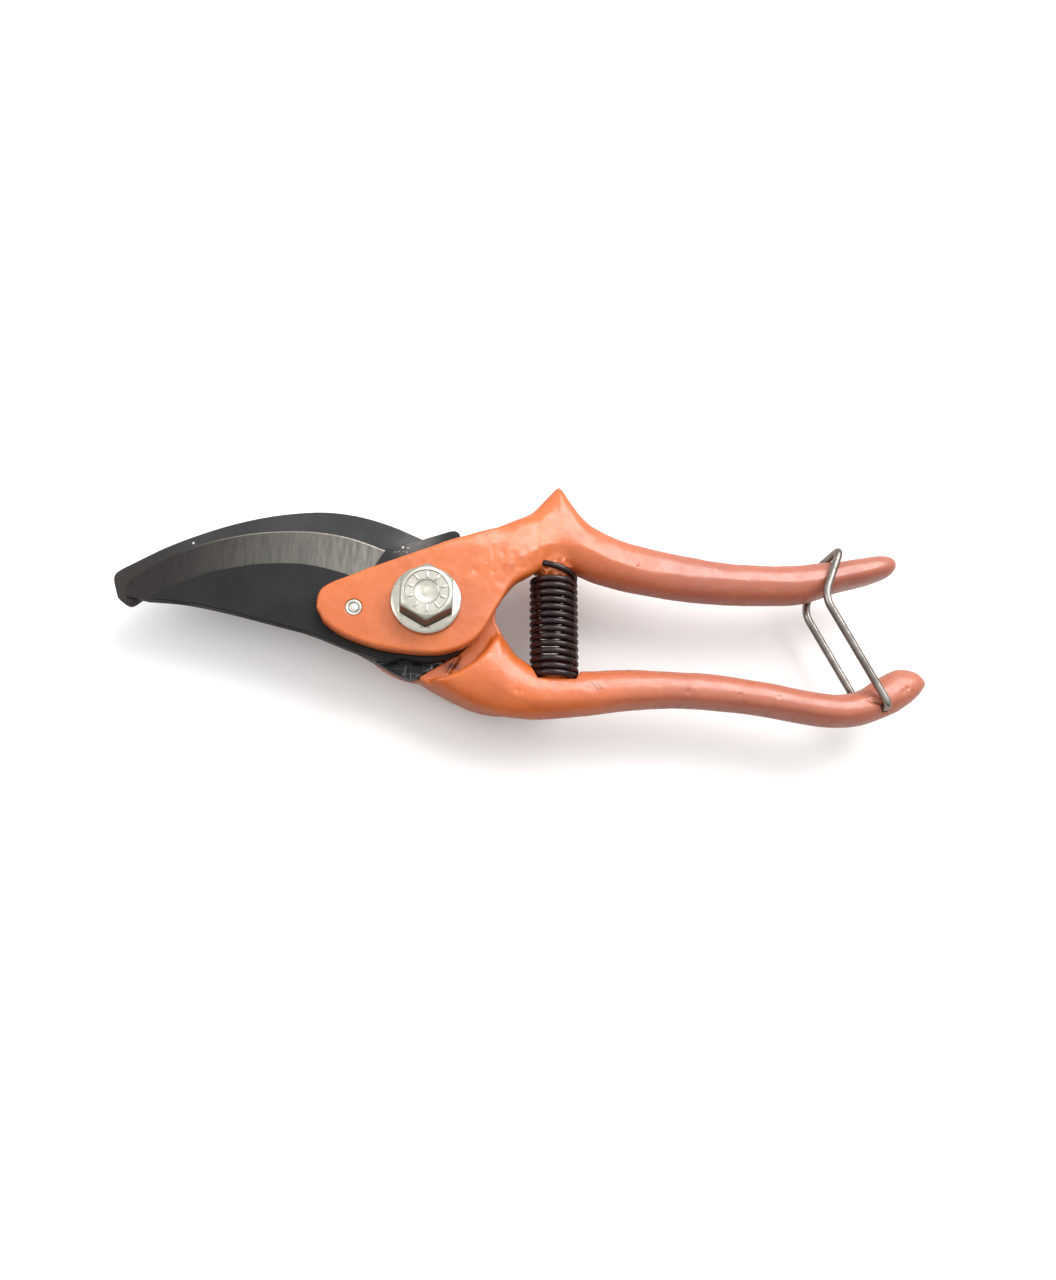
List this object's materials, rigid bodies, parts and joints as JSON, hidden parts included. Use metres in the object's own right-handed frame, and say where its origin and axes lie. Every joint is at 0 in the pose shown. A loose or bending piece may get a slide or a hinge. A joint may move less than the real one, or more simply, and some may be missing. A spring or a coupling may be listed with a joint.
{
  "type": "bypass pruner",
  "caption": "Hand pruner with a curved cutting blade that passes a hooked counter blade, two cast handles, a compression spring and a wire clasp that locks it shut.",
  "frame": {"origin": "on the pivot axis, at the end face of the pivot bolt", "axes": "+X towards the handle tails, +Y towards the thumb horn side, +Z along the pivot bolt towards its head"},
  "size_m": [0.2131, 0.0642, 0.0316],
  "materials": {
    "paint": "gloss",
    "blade_steel": "black oxide, satin",
    "plating": "bright zinc, satin",
    "nylon": "matt",
    "spring_steel": "oil blackened",
    "wire": "satin"
  },
  "bodies": {
    "lower_half": {"lower_handle": "paint", "counter_blade": "blade_steel", "rear_rivet": "plating", "pivot_bolt": "plating", "washer": "plating", "lock_nut": "plating", "nut_insert": "nylon", "spring": "spring_steel"},
    "upper_half": {"upper_handle": "paint", "cutting_blade": "blade_steel", "front_rivet": "plating"},
    "clasp": {"wire_clasp": "wire"}
  },
  "joints": [
    {"name": "pruner_open", "type": "hinge", "parent": "lower_half", "child": "upper_half", "pos_m": [0, 0, 0.0163], "axis": [0, 0, 1], "range_deg": [-1.5, 24], "deforming": ["spring"]},
    {"name": "clasp_swing", "type": "hinge", "parent": "lower_half", "child": "clasp", "pos_m": [0.121, -0.0238, 0.0163], "axis": [0, 0, 1], "range_deg": [-165, 0], "deforming": ["wire_clasp"]}
  ]
}
